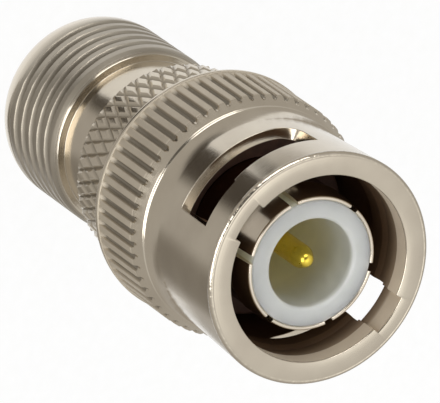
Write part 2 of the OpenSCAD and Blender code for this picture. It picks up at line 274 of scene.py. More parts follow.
class Shade:
    """Short ways to add nodes to a material or a world."""

    def __init__(self, tree):
        self.nodes, self.links = tree.nodes, tree.links

    def put(self, value, socket):
        """Sets a socket to a value, or links another socket to it."""
        if isinstance(value, bpy.types.NodeSocket):
            self.links.new(value, socket)
        else:
            socket.default_value = value

    def node(self, kind, inputs, **settings):
        node = self.nodes.new("ShaderNode" + kind)
        for name, value in settings.items():
            setattr(node, name, value)
        self.fill(node, inputs)
        return node

    def fill(self, node, inputs):
        for name, value in inputs.items():
            self.put(value, node.inputs[name])

    def place(self, system="Object"):
        return self.node("TexCoord", {}).outputs[system]

    def height(self, place):
        return self.node("SeparateXYZ", {0: place}).outputs["Z"]

    def radius(self, place):
        """Distance from the part's axis."""
        flat = self.times(place, (1, 1, 0))
        return self.node("VectorMath", {0: flat}, operation="LENGTH").outputs["Value"]

    def noise(self, place, scale, detail):
        return self.node("TexNoise", {"Vector": place, "Scale": scale, "Detail": detail}).outputs["Fac"]

    def math(self, operation, a, b):
        return self.node("Math", {0: a, 1: b}, operation=operation).outputs[0]

    def times(self, a, b):
        """Product of two colours or vectors, part by part."""
        return self.node("VectorMath", {0: a, 1: b}, operation="MULTIPLY").outputs[0]

    def span(self, value, low, high, from_low=0.0, from_high=1.0):
        """The value, brought from one range to another."""
        ends = {"From Min": from_low, "From Max": from_high, "To Min": low, "To Max": high}
        return self.node("MapRange", {"Value": value, **ends}).outputs["Result"]

    def fade(self, value, at, low=0.0, high=1.0):
        """A soft step from low to high where the value passes a length in millimetres."""
        return self.span(value, low, high, (at - ZONE_FADE) * MM, (at + ZONE_FADE) * MM)

    def between(self, place, low, high):
        """1 between two heights in millimetres and 0 outside them."""
        height = self.height(place)
        return self.math("MULTIPLY", self.fade(height, low), self.fade(height, high, 1.0, 0.0))

    def ramp(self, value, stops, interpolation="LINEAR"):
        node = self.node("ValToRGB", {"Fac": value})
        node.color_ramp.interpolation = interpolation
        while len(node.color_ramp.elements) < len(stops):
            node.color_ramp.elements.new(0.5)
        for element, (at, colour) in zip(node.color_ramp.elements, stops):
            element.position = at
            element.color = (*colour, 1)
        return node.outputs["Color"]

    def toned(self, value, tones):
        """A colour that goes from one tone to another with a noise."""
        return self.ramp(value, [(0.3, tones[0]), (0.7, tones[1])])

    def with_painted_light(self, colour, place, tints):
        """The colour times painted light and shade, which are given against the height in millimetres."""
        low, high = tints[0][0], tints[-1][0]
        share = self.span(self.height(place), 0.0, 1.0, low * MM, high * MM)
        stops = [((at - low) / (high - low), tint) for at, tint in tints]
        return self.times(colour, self.ramp(share, stops))

    def mix(self, factor, a, b):
        """Colour a where the factor is 0 and colour b where it is 1. The numbers are the colour sockets."""
        return self.node("Mix", {"Factor": factor, 6: a, 7: b}, data_type="RGBA").outputs[2]

    def bump(self, height, strength, distance, **more):
        inputs = {"Height": height, "Strength": strength, "Distance": distance, **more}
        return self.node("Bump", inputs).outputs["Normal"]


def new_material(name):
    material = bpy.data.materials.new(name)
    material.use_nodes = True
    return material, Shade(material.node_tree), material.node_tree.nodes["Principled BSDF"]


def turning_lines(shade, place, radius, strength):
    """Fine lines that run round the piece, on walls and on end faces alike."""
    lines_per_metre = 9000.0
    run = shade.math("ADD", radius, shade.height(place))
    run = shade.math("MULTIPLY", run, lines_per_metre)
    cuts = shade.node("TexNoise", {"W": run, "Scale": 1.0, "Detail": 3.0}, noise_dimensions="1D")
    return shade.bump(cuts.outputs["Fac"], strength, FINE_BUMP)


def plated(name, tones, rough, lines, tints=(), bore=None, grooved=(), dented=()):
    """Plated metal: clouded colour, clouded roughness, fine lines left by turning, and painted light and
    shade by height, in grooves and in the bore.
    """
    material, shade, shader = new_material(name)
    place = shade.place()
    radius = shade.radius(place)
    colour = shade.toned(shade.noise(place, scale=420.0, detail=4.0), tones)
    # Painted light and shade against the height
    if tints:
        colour = shade.with_painted_light(colour, place, tints)
    rough_range = 0.04
    grain = shade.noise(place, scale=5200.0, detail=2.0)
    roughness = shade.span(grain, rough - rough_range, rough + rough_range)
    # Rougher metal in each grooved zone, and painted shade towards the groove bottoms
    for zone in grooved:
        inside = shade.between(place, zone.low, zone.high)
        roughness = shade.math("ADD", roughness, shade.math("MULTIPLY", inside, zone.rough - rough))
        painted_groove_shade = shade.span(radius, 1.0 - zone.shade, 0.0, zone.bottom * MM, zone.top * MM)
        left = shade.math("SUBTRACT", 1.0, shade.math("MULTIPLY", inside, painted_groove_shade))
        colour = shade.node("VectorMath", {0: colour, "Scale": left}, operation="SCALE").outputs[0]
    # The bore is rougher, and has painted shade against the height
    if bore:
        inside = shade.fade(radius, bore.radius, 1.0, 0.0)
        # The mouth's face stays polished
        bore_end, face_start = MOUTH - 0.10, MOUTH - 0.05
        behind = shade.span(shade.height(place), 1.0, 0.0, bore_end * MM, face_start * MM)
        inside = shade.math("MULTIPLY", inside, behind)
        roughness = shade.math("ADD", roughness, shade.math("MULTIPLY", inside, bore.rough - rough))
        colour = shade.mix(inside, colour, shade.with_painted_light(colour, place, bore.tints))
    normal = turning_lines(shade, place, radius, lines)
    for edge in dented:
        inside = shade.between(place, edge.low, edge.high)
        inside = shade.math("MULTIPLY", inside, shade.fade(radius, edge.radius))
        dents = shade.math("MULTIPLY", shade.noise(place, scale=2800.0, detail=3.0), inside)
        normal = shade.bump(dents, strength=0.40, distance=0.00010, Normal=normal)
    shade.fill(shader, {"Metallic": 1.0, "Base Color": colour, "Roughness": roughness, "Normal": normal})
    return material


def polymer(name, tones, cavity=(), wall=()):
    """White polymer that lets light in a little. cavity and wall are its painted light and shade inside and
    outside.
    """
    cavity_edge, wall_edge = 3.0, 3.2
    rough, rough_range = 0.42, 0.06
    material, shade, shader = new_material(name)
    place = shade.place()
    colour = shade.toned(shade.noise(place, scale=700.0, detail=4.0), tones)
    # Painted light and shade, inside the cavity and on the outer wall
    if cavity:
        outside = shade.span(shade.radius(place), 0.0, 1.0, cavity_edge * MM, wall_edge * MM)
        colour = shade.mix(outside, shade.with_painted_light(colour, place, cavity), shade.with_painted_light(colour, place, wall))
    grain = shade.noise(place, scale=9000.0, detail=2.0)
    shade.fill(shader, {
        "Base Color": colour,
        "Subsurface Weight": 1.0,
        "Subsurface Radius": (1.0, 1.0, 0.9),
        "Subsurface Scale": 0.0026,
        "Roughness": shade.span(grain, rough - rough_range, rough + rough_range),
        "Normal": shade.bump(grain, strength=0.05, distance=FINE_BUMP),
    })
    return material


def rubber(name, tones):
    material, shade, shader = new_material(name)
    grain = shade.noise(shade.place(), scale=2500.0, detail=5.0)
    shade.fill(shader, {"Base Color": shade.toned(grain, tones), "Roughness": shade.span(grain, 0.65, 0.85)})
    return material


NICKEL = (0.60, 0.535, 0.44), (0.67, 0.605, 0.50)
GOLD = (0.84, 0.61, 0.06), (0.94, 0.74, 0.14)
STEEL = (0.30, 0.29, 0.27), (0.38, 0.37, 0.35)
WHITE = (0.53, 0.55, 0.54), (0.58, 0.60, 0.59)
RUBBER = (0.060, 0.028, 0.018), (0.095, 0.046, 0.030)

# Painted light and shade: tints against the height that lighten rims and tips and darken the thread and the
# hollows
PLAIN, THREAD_PAINTED_SHADE = (1, 1, 1), (0.62, 0.62, 0.62)
# Painted light on the nut's lip wall and on the fingers' tips
LIP_PAINTED_LIGHT, FINGER_PAINTED_LIGHT = (1.14, 1.13, 1.13), (1.18, 1.18, 1.20)
# Body: painted highlight on the barrel's free end, painted shade over the thread
BODY_PAINTED_LIGHT = [(0, (1.2, 1.2, 1.22)), (1.3, (1.1, 1.1, 1.1)), (2.0, THREAD_PAINTED_SHADE), (7.2, THREAD_PAINTED_SHADE),
              (7.6, PLAIN)]
# Nut's chamber: painted shade, darker and browner deeper in, and a painted lighter lip
CHAMBER_PAINTED_SHADE = [(24.6, (0.20, 0.12, 0.08)), (26.0, (0.28, 0.20, 0.15)), (26.7, (0.50, 0.41, 0.34)),
                 (27.3, (0.75, 0.67, 0.60)), (27.55, LIP_PAINTED_LIGHT), (28.7, LIP_PAINTED_LIGHT)]
# Fingers: painted shade, darker and browner deeper in the nut, and painted light on the tips
CONTACT_PAINTED_LIGHT = [(22.5, (0.32, 0.21, 0.15)), (25.0, (0.42, 0.32, 0.26)), (25.9, FINGER_PAINTED_LIGHT),
                 (28, FINGER_PAINTED_LIGHT)]
# Plug insulator's cavity: painted light deep in, painted shade towards its mouth
CAVITY_PAINTED_LIGHT = [(20.8, (1.6, 1.46, 1.02)), (23.5, (1.6, 1.50, 1.14)), (25.5, (1.05, 1.02, 0.88)),
                (27.3, (0.72, 0.705, 0.665)), (27.7, PLAIN)]
# Plug insulator's outer wall between the fingers: painted light
WALL_PAINTED_LIGHT = [(20.8, (1.65, 1.53, 1.20)), (27.5, (1.65, 1.56, 1.28)), (27.75, PLAIN)]

# Grooved zones, with painted shade at the groove bottoms
THREAD_ZONE = Grooved(low=1.9, high=7.25, rough=0.40, bottom=5.15, top=5.48, shade=0.66)
GRIP_ZONE = Grooved(low=BAND_BACK, high=BAND_FRONT, rough=0.19, bottom=5.77, top=5.90, shade=0.66)
KNURL_ZONE = Grooved(low=16.05, high=19.95, rough=0.55, bottom=6.88, top=7.04, shade=0.50)
CHAMBER = Bore(radius=5.84, rough=0.8, tints=CHAMBER_PAINTED_SHADE)
MOUTH_EDGE = Dented(low=28.45, high=28.76, radius=6.50)

nickel = plated("nickel_plate", NICKEL, rough=0.16, lines=0.10, tints=BODY_PAINTED_LIGHT,
                grooved=[THREAD_ZONE, GRIP_ZONE])
nut_nickel = plated("nut_nickel_plate", NICKEL, rough=0.16, lines=0.10, bore=CHAMBER,
                    grooved=[KNURL_ZONE], dented=[MOUTH_EDGE])
contact_nickel = plated("contact_nickel_plate", NICKEL, rough=0.20, lines=0.06, tints=CONTACT_PAINTED_LIGHT)
gold = plated("gold_plate", GOLD, rough=0.26, lines=0.04)
steel = plated("spring_steel", STEEL, rough=0.34, lines=0.10)
white = polymer("white_polymer", WHITE)
plug_white_painted = polymer("plug_white_painted_light", WHITE, CAVITY_PAINTED_LIGHT, WALL_PAINTED_LIGHT)
seal = rubber("seal_rubber", RUBBER)


# Body: threaded jack, neck, grip band and spigot

BARREL_COLUMNS = 180
BARREL_END_R, LEAD_LENGTH = 4.72, 1.95
THREAD_R, THREAD_DEPTH, THREAD_PITCH = 5.5, 0.36, 0.95
# A place on the middle of the groove, and the shares of half a pitch that its floor and its flanks reach
THREAD_GROOVE_Z, THREAD_GROOVE_ANGLE = 2.5, math.radians(268.25)
THREAD_FLOOR, THREAD_FLANK = 0.06, 0.60
# The heights between which the groove starts, and those between which it runs out
THREAD_START, THREAD_STOP = (1.72, 2.30), (6.45, 6.80)
NECK_R, JACK_BORE, SPIGOT_R, BODY_SEAT_R, WEB_BORE = 4.84, 4.07, 4.60, 3.97, 3.3
# The rim's chamfer with its two edges, and the neck with its two fillets
CHAMFER = [(5.492, 6.95), (5.475, 6.99), (5.455, 7.03), (5.27, 7.40), (5.24, 7.43), (5.19, 7.44)]
NECK = [(4.90, 7.44), (4.86, 7.45), (4.842, 7.475), (NECK_R, 7.51), (NECK_R, 8.5), (NECK_R, 9.6),
        (NECK_R, 10.58), (4.855, 10.66), (4.90, 10.695), (4.97, BAND_BACK)]
# Grip band: columns for each groove, half a groove's width in columns, and the depth against the width
BAND_R, BAND_GROOVES, BAND_ANGLE = 5.95, 45, math.radians(23)
BAND_STEPS, BAND_HALF_GROOVE, BAND_STEEPNESS = 12, 3.1, 0.95
# The back edge's chamfer: the radius it starts from and its slope
BAND_EDGE_R, BAND_EDGE_SLOPE = 5.53, 0.95
# The front edge's bevel: its full depth, the length for that depth, and the share left at the front face
BEVEL_DEPTH, BEVEL_LENGTH, BEVEL_SHARE = 0.15, 0.27, 0.55


def barrel_rings(skin, angles):
    """Rings of the barrel from its free end to the end of the thread, with the helical groove."""
    lead_rows = 1.2 * np.linspace(0, 1, 10) ** 2
    thread_rows = np.arange(1.45, 6.93, 0.035)
    lead_bulge = 0.7
    rings = []
    for height in np.concatenate([lead_rows, thread_rows]):
        to_crest = max(0, 1 - height / LEAD_LENGTH)
        radius = BARREL_END_R + (THREAD_R - BARREL_END_R) * (1 - to_crest ** 2) ** lead_bulge
        turn = (height - THREAD_GROOVE_Z) / THREAD_PITCH - (angles - THREAD_GROOVE_ANGLE) / TAU
        off = np.abs(turn - np.round(turn)) * 2
        cut = 1 - smooth(THREAD_FLOOR, THREAD_FLANK, off)
        share = smooth(*THREAD_START, height) * (1 - smooth(*THREAD_STOP, height))
        rings.append(skin.add(radius - THREAD_DEPTH * share * cut, angles, height))
    return rings


def band_rings(skin):
    """The grip band. Returns its first and its last ring.

    Both hands of groove run along the diagonals of the rows and the middles between them.
    """
    columns = BAND_GROOVES * BAND_STEPS
    step = TAU / columns
    length = BAND_FRONT - BAND_BACK
    count = int(round(length * math.tan(BAND_ANGLE) / (step * BAND_R)))
    rise = length / count
    depth = BAND_HALF_GROOVE * step * BAND_R * math.cos(BAND_ANGLE) * BAND_STEEPNESS

    def ring(column, row):
        cut = np.zeros_like(column)
        for hand in (-1, 1):
            place = (column + hand * row) / BAND_STEPS
            off = np.abs(place - np.round(place)) * BAND_STEPS
            cut = np.maximum(cut, np.clip(1 - off / BAND_HALF_GROOVE, 0, 1))
        height = row * rise
        front = min(1, BEVEL_SHARE + (length - height) / BEVEL_LENGTH)
        radius = BAND_R - BEVEL_DEPTH * (1 - front) - depth * cut
        radius = np.minimum(radius, BAND_EDGE_R + height * BAND_EDGE_SLOPE)
        return skin.add(radius, column * step, BAND_BACK + height)

    at = np.arange(columns, dtype=float)
    rings = [ring(at, row) for row in range(count + 1)]
    for row, (low, high) in enumerate(zip(rings, rings[1:])):
        middle = ring(at + 0.5, row + 0.5)
        low_next, high_next = np.roll(low, -1), np.roll(high, -1)
        for a, b in ((low, low_next), (low_next, high_next), (high_next, high), (high, low)):
            skin.join(a, b, middle)
    return rings[0], rings[-1]


def make_body():
    skin = Skin()
    angles = circle(BARREL_COLUMNS)
    inside = rounded([(BAND_R, BAND_FRONT), (SPIGOT_R, BAND_FRONT), (SPIGOT_R, SPIGOT_FRONT),
                      (BODY_SEAT_R, SPIGOT_FRONT), (BODY_SEAT_R, WEB_FRONT), (WEB_BORE, WEB_FRONT),
                      (WEB_BORE, WEB_BACK), (JACK_BORE, WEB_BACK), (JACK_BORE, 0), (BARREL_END_R, 0)],
                     [0, 0.07, 0.05, 0.05, 0, 0, 0, 0.04, 0.06, 0], closed=False)
    barrel = barrel_rings(skin, angles) + list(skin.turn(CHAMFER + NECK, angles))
    back, front = band_rings(skin)
    skin.chain(barrel + [back])
    skin.chain([front, *skin.turn(inside[1:-1], angles), barrel[0]])
    skin.piece("body_shell", nickel, "body", "nickel", "main_body", sharp=30)


# Coupling nut, with heights from its back face

KNURL_TEETH, KNURL_R, KNURL_DEPTH = 60, 7.1, 0.25
# The knurl's grooves start from this height, and reach their depth over this length
KNURL_BACK_H, KNURL_END = 0.4, 0.45
# The collar's rim, with its back edge broken by a radius and a height, and its front edge by one size
RIM_R, RIM_FRONT_H = 7.16, 0.405
RIM_BREAK_R, RIM_BREAK_H, RIM_FRONT_BREAK = 0.18, 0.22, 0.045
SHOULDER_H, SWEEP_H, SWEEP_R = 4.2, 4.96, 6.66
SLEEVE_BACK_R, SLEEVE_BACK_H, MOUTH_R, MOUTH_H = 6.4, 6.26, 6.72, 12.86
NUT_BORE, NUT_WEB, CHAMBER_R, CHAMBER_H = 4.65, 1.5, 5.8, 7.4
LIP_R, LIP_GROOVE_R, NOTCH_R = 5.4, 5.6, 5.76
# The chamber's end, the ledge, the groove between ledge and lip, and the lip
BORE_H = 8.8, 9.1, 10.2, 10.5, 11.6, 11.9, NUT_LENGTH
BORE_R = CHAMBER_R, LIP_R, LIP_R, LIP_GROOVE_R, LIP_GROOVE_R, LIP_R, LIP_R
LIP_ROUND_R, LIP_ROUND_H = 0.06, 0.07
# Half the widths of a notch and of the window's bay behind it, as angles, and the window's blind end
NOTCH_WIDTH, BAY_WIDTH = 2.34, 2.58
NOTCH_HALF, BAY_HALF = math.asin(NOTCH_WIDTH / 2 / NOTCH_R), math.asin(BAY_WIDTH / 2 / NOTCH_R)
BLIND = math.radians(29)
WINDOW_BACK_H, BAY_H = 7.93, 11.0
CORNER, WALL_R = 1.2, 6.26

# Front edge of a window: its heights at the blind end and at the notch, its row's height before the rows are
# sloped, and the heights below and above which the rows stay level
Slope = namedtuple("Slope", "blind notch rest below above")
RAMP = Slope(blind=10.58, notch=10.82, rest=10.70, below=9.4, above=BAY_H)
LEDGE = Slope(blind=9.134, notch=9.334, rest=9.24, below=8.6, above=10.2)

# The broken outer edge of the mouth
MOUTH_BREAK = [(6.708, 12.86), (6.68, 12.91), (6.64, 12.955), (6.60, 12.985), (6.555, NUT_LENGTH)]
# Heights of the rows: on the knurl and its shoulder, and on the sleeve behind the window, at the window, and
# in front of it outside and inside
KNURL_ROWS = [0.42, 0.49, 0.58, 0.67, 0.76, 0.85, 2.4, 4.1, 4.17, 4.21,
              4.27, 4.36, 4.46, 4.55, 4.63, 4.72, 4.82, 4.90, 4.945]
BEHIND_ROWS = [6.3, 6.5, 6.8, 7.1, CHAMBER_H]
WINDOW_ROWS = [7.6, 7.75, 7.86, WINDOW_BACK_H, 8.0, 8.1, 8.25, 8.4, 8.55, 8.7, 8.85, 9.0,
               WINDOW_BACK_H + CORNER, 9.4, 9.75, 10.1, 10.4, RAMP.rest, 10.81, 10.91, BAY_H]
FRONT_ROWS = [11.2, 11.5, 11.9, 12.25, 12.55, 12.72, 12.80]
LIP_ROWS = [10.2, 10.5, BAY_H, 11.3, 11.6, 11.9, 12.3, 12.6, 12.8, 12.89, NUT_LENGTH - LIP_ROUND_H]

Rows = namedtuple("Rows", "outer inner share knurl window back ramp bay")


def nut_columns():
    """Angles of the columns at the knurl and at the sleeve, their shares of a groove, and named columns."""
    places_in_pitch = np.array([-0.19, -0.08, 0.08, 0.19, 0.25, 0.30, 0.70, 0.75])
    cuts = np.array([0.72, 1.0, 1.0, 0.72, 0.10, 0.0, 0.0, 0.10])
    knurl = (np.arange(KNURL_TEETH)[:, None] + places_in_pitch[None, :]).ravel() * TAU / KNURL_TEETH
    count = len(knurl)
    step, start = TAU / count, knurl[0]
    sliver = math.radians(0.15)
    wanted = [
        ("blind", BLIND),
        ("ramp", QUARTER - BAY_HALF),
        ("notch_out_from", QUARTER - NOTCH_HALF - sliver),
        ("notch_from", QUARTER - NOTCH_HALF + sliver),
        ("notch_to", QUARTER + NOTCH_HALF - sliver),
        ("notch_out_to", QUARTER + NOTCH_HALF + sliver),
        ("open", QUARTER + BAY_HALF),
    ]
    edges = {}
    places = []
    for side in (0, 1):
        last = -1
        for name, angle in wanted:
            angle += side * math.pi
            last = max(int(round((angle - start) / step)), last + 1)
            edges[name, side] = last
            places.append((last, angle))
    # Columns further than this from every named one keep their even places
    reach = 6
    named = [column for column, _ in places]
    for column in range(-8, count + 9):
        if min(abs(column - other) for other in named) > reach:
            places.append((column, start + column * step))
    places.sort()
    sleeve = np.interp(np.arange(count), *zip(*places))
    return knurl, sleeve, np.tile(cuts, KNURL_TEETH), edges


def nut_rows():
    """Profiles of the nut outside and inside, the rows' share of the sleeve's columns, and the named rows.

    Where a formula gives the radius, the profile has nan.
    """
    rim = quarter_arc((RIM_R - RIM_BREAK_R, RIM_BREAK_H), RIM_BREAK_R, -RIM_BREAK_H, 5)[::-1]
    edge = RIM_FRONT_BREAK
    rim += quarter_arc((RIM_R - edge, RIM_FRONT_H - edge), edge, edge, 2)
    knurl = list(zip(np.interp(KNURL_ROWS, [SHOULDER_H, SWEEP_H], [KNURL_R, SWEEP_R]), KNURL_ROWS))
    sweep = [(SWEEP_R + (SLEEVE_BACK_R - SWEEP_R) * math.sin(bend),
              SWEEP_H + (SLEEVE_BACK_H - SWEEP_H) * (1 - math.cos(bend)))
             for bend in np.array([0.03, 0.08, *np.arange(0.16, 0.9, 0.1), 0.94, 1]) * QUARTER]
    sleeve = [(math.nan, height) for height in BEHIND_ROWS + WINDOW_ROWS + FRONT_ROWS]
    sweep_from = len(rim) + len(knurl)
    sleeve_from = sweep_from + len(sweep)
    first = sleeve_from + len(BEHIND_ROWS)
    chamber = rounded([(RIM_R, 0), (NUT_BORE, 0), (NUT_BORE, NUT_WEB), (CHAMBER_R, NUT_WEB),
                       (CHAMBER_R, CHAMBER_H)], [0, 0.065, 0.065, 0.075, 0], steps=1, closed=False)[1:]
    # Inside, the rows of the window end at the ledge, which lies further back than the ramp
    window = np.interp(WINDOW_ROWS[:-3], [WINDOW_ROWS[0], WINDOW_BACK_H, RAMP.rest],
                       [WINDOW_ROWS[0], WINDOW_BACK_H, LEDGE.rest])
    lip_end = [NUT_LENGTH - LIP_ROUND_H * (1 - math.sin(bend)) for bend in np.linspace(0.25, 1, 4) * QUARTER]
    front = [(math.nan, height) for height in [*window, *LIP_ROWS, *lip_end]]
    outer = np.array(rim + knurl + sweep + sleeve + MOUTH_BREAK)
    share = np.ones(len(outer))
    share[:sweep_from] = 0
    share[sweep_from:sleeve_from] = np.linspace(0, 1, len(sweep))
    return Rows(
        outer=outer,
        inner=np.array(resample(chamber, first) + front),
        share=share,
        knurl=slice(len(rim), sweep_from),
        window=slice(first, first + len(WINDOW_ROWS)),
        back=first + WINDOW_ROWS.index(WINDOW_BACK_H),
        ramp=first + WINDOW_ROWS.index(RAMP.rest),
        bay=first + WINDOW_ROWS.index(BAY_H),
    )


def round_blind_corner(along, height):
    """Shifts of a window corner's grid onto the rounded corner. All are in corner radii from the corner."""
    along_in, height_in = np.clip(along, 0, 1), np.clip(height, 0, 1)
    on_side = height > along
    bend = np.where(on_side, 1 - height_in, 1 - along_in) * math.pi / 4
    shift_along = np.where(on_side, 1 - np.cos(bend), 1 - np.sin(bend) - along_in)
    shift_height = np.where(on_side, 1 - np.sin(bend) - height_in, 1 - np.cos(bend))
    away = np.maximum(np.maximum(-along, -height), 0)
    outside = (along < 1) & (height < 1) & (np.minimum(along, height) <= 1e-6)
    reach = np.clip(1 - away, 0, 1) * outside
    return shift_along * reach, shift_height * reach


def shape_windows(heights, angles, slope, rows, edges):
    """Slopes the rows at the front edge of both windows and rounds their blind corners, in place."""
    count = heights.shape[1]
    fade_columns = 9
    # A column far from both windows, where the rows are level
    far_column = edges["open", 0] + 60
    whole_turn = TAU * WALL_R / CORNER
    for side in (0, 1):
        blind, bay = edges["blind", side], edges["ramp", side]
        blind_angle = BLIND + side * math.pi
        fade = np.zeros(count)
        fade[blind:bay + 1] = 1
        for k in range(1, fade_columns):
            fade[(blind - k) % count] = fade[(bay + k) % count] = 1 - k / fade_columns
        along = (angles[rows.window.start] - blind_angle) / (QUARTER - BAY_HALF - BLIND)
        lift = slope.blind + (slope.notch - slope.blind) * np.clip(along, 0, 1) - slope.rest
        level = heights[rows.window, far_column]
        tent = np.interp(level, [slope.below, slope.rest, slope.above], [0, 1, 0])
        heights[rows.window] += tent[:, None] * (lift * fade)[None, :]
        across = (angles[rows.window] - blind_angle) * WALL_R / CORNER
        across = (across + whole_turn / 2) % whole_turn - whole_turn / 2
        up = (heights[rows.window] - WINDOW_BACK_H) / CORNER
        shift_along, shift_height = round_blind_corner(across, up)
        angles[rows.window] += shift_along * CORNER / WALL_R
        heights[rows.window] += shift_height * CORNER


def nut_radii(rows, heights, heights_in, cut, edges):
    """Radii of the nut's grid outside, with the knurl, and inside, with the lug notches through the lip."""
    flare = np.interp(heights, [SLEEVE_BACK_H, MOUTH_H], [SLEEVE_BACK_R, MOUTH_R])
    outside = np.where(np.isnan(rows.outer[:, :1]), flare, rows.outer[:, :1])
    ramped = np.clip((heights[rows.knurl] - KNURL_BACK_H) / KNURL_END, 0, 1)
    outside[rows.knurl] = np.minimum(outside[rows.knurl], KNURL_R - KNURL_DEPTH * ramped * cut[None, :])
    lip = np.interp(heights_in, BORE_H, BORE_R)
    for side in (0, 1):
        notch = slice(rows.bay, None), slice(edges["notch_from", side], edges["notch_to", side] + 1)
        lip[notch] = np.maximum(lip[notch], NOTCH_R)
    to_end = np.clip(1 - (NUT_LENGTH - heights_in) / LIP_ROUND_H, 0, 1)
    lip += LIP_ROUND_R * (1 - np.sqrt(1 - to_end ** 2))
    inside = np.where(np.isnan(rows.inner[:, :1]), lip, rows.inner[:, :1])
    return outside, inside


def make_nut():
    knurl, sleeve, cut, edges = nut_columns()
    rows = nut_rows()
    angles = knurl[None, :] * (1 - rows.share[:, None]) + sleeve[None, :] * rows.share[:, None]
    angles_in = angles.copy()
    heights = rows.outer[:, 1:] * np.ones_like(angles)
    heights_in = rows.inner[:, 1:] * np.ones_like(angles)
    shape_windows(heights, angles, RAMP, rows, edges)
    shape_windows(heights_in, angles_in, LEDGE, rows, edges)
    outside, inside = nut_radii(rows, heights, heights_in, cut, edges)
    hole = np.zeros((len(rows.outer) - 1, len(knurl)), bool)
    for side in (0, 1):
        hole[rows.back:rows.ramp, edges["blind", side]:edges["ramp", side]] = True
        hole[rows.back:rows.bay, edges["ramp", side]:edges["open", side]] = True
    skin = Skin()
    outer = skin.add(outside, angles, NUT_BACK + heights)
    inner = skin.add(inside, angles_in, NUT_BACK + heights_in)
    skin.shell(outer, inner, hole)
    skin.bridge(inner[0], outer[0])
    skin.bridge(outer[-1], inner[-1])
    for side in (0, 1):
        for name in ("notch_out_from", "notch_out_to"):
            column = inner[rows.bay + 1:, edges[name, side]].tolist()
            skin.bevelled += zip(column, column[1:])
    skin.piece("nut_shell", nut_nickel, "nut", "nickel", "coupling_nut", bevel=0.04, sharp=30)


# Outer contact with its spring fingers

FINGERS, FINGER_COLUMNS = 6, 26
FINGER_TURN = math.radians(-4.5)
SLOT_HALF, SLOT_R, SLOT_Z = 0.24, 3.8, 22.63
FLANGE_BACK, FLANGE_FRONT = SPIGOT_FRONT + SEAT_PLAY, 20.16
BEAD_R, BEAD_START, BEAD_Z = 4.045, 25.25, 25.95
# Where the tip's rounding begins outside and inside, and the radii that it ends at
TIP_ROUND_R, TIP_ROUND_Z, TIP_INNER_Z = 3.892, 27.66, 27.72
TIP_OUTER_R, TIP_INNER_R = 3.78, 3.72


def finger_radius(height):
    """Outer radius of a finger: level, up to the bead, and down towards the tip, a little faster there."""
    taper_bend = 1.15
    up = SLEEVE_R + (BEAD_R - SLEEVE_R) * smooth(BEAD_START, BEAD_Z, height)
    share = max(0, height - BEAD_Z) / (TIP_ROUND_Z - BEAD_Z)
    return up - (BEAD_R - TIP_ROUND_R) * share ** taper_bend


def make_fingers():
    slot = math.asin(SLOT_HALF / SLOT_R)
    pitch = TAU / FINGERS
    one = np.concatenate([[-slot, 0.0], np.linspace(slot, pitch - slot, FINGER_COLUMNS, endpoint=False)])
    angles = (np.arange(FINGERS)[:, None] * pitch + one[None, :]).ravel() + FINGER_TURN
    back = WEB_FRONT + SEAT_PLAY
    sleeve = rounded([(SLEEVE_BORE, back), (SLEEVE_R, back), (SLEEVE_R, FLANGE_BACK), (STACK_R, FLANGE_BACK),
                      (STACK_R, FLANGE_FRONT), (SLEEVE_R, FLANGE_FRONT), (SLEEVE_R, SLOT_Z)],
                     [0, 0.06, 0.05, 0.07, 0.07, 0.05, 0], steps=2, closed=False)[1:-1]
    heights = [SLOT_Z, 24.2, *np.linspace(BEAD_START, BEAD_Z, 6), *np.linspace(26.1, 27.5, 5)]
    outer = sleeve + [(finger_radius(height), height) for height in heights]
    outer += quarter_arc((TIP_OUTER_R, TIP_ROUND_Z), TIP_ROUND_R - TIP_OUTER_R, TIP - TIP_ROUND_Z, 5)
    first = len(sleeve)
    inner = resample([(SLEEVE_BORE + 0.05, back), (SLEEVE_BORE, back + 0.055), (SLEEVE_BORE, 22.0)], first)
    inner += [(SLEEVE_BORE, height) for height in heights + [TIP_ROUND_Z]]
    inner += quarter_arc((TIP_INNER_R, TIP_INNER_Z), SLEEVE_BORE - TIP_INNER_R, TIP - TIP_INNER_Z, 4)
    hole = np.zeros((len(outer) - 1, len(angles)), bool)
    for start in range(0, len(angles), len(one)):
        hole[first:, start:start + 2] = True
    skin = Skin()
    outer, inner = skin.turn(outer, angles), skin.turn(inner, angles)
    skin.shell(outer, inner, hole)
    skin.bridge(inner[0], outer[0])
    skin.rim(outer[-1], inner[-1], ~hole[-1])
    skin.piece("finger_sleeve", contact_nickel, "body", "nickel", "outer_contact", bevel=0.03, sharp=34)


# Insulators

PLUG_R, CAVITY_R, CAVITY_CHAMFER, PIN_HOLE = 3.63, 2.58, 0.12, 1.02
JACK_R, NOSE_R, NOSE_END = 3.28, 2.4, 1.6
COLLAR_BACK, COLLAR_FRONT = 11.325, 12.525
SOCKET_HOLE, COLLAR_HOLE = SOCKET_R + SEAT_PLAY, COLLAR_R + SEAT_PLAY


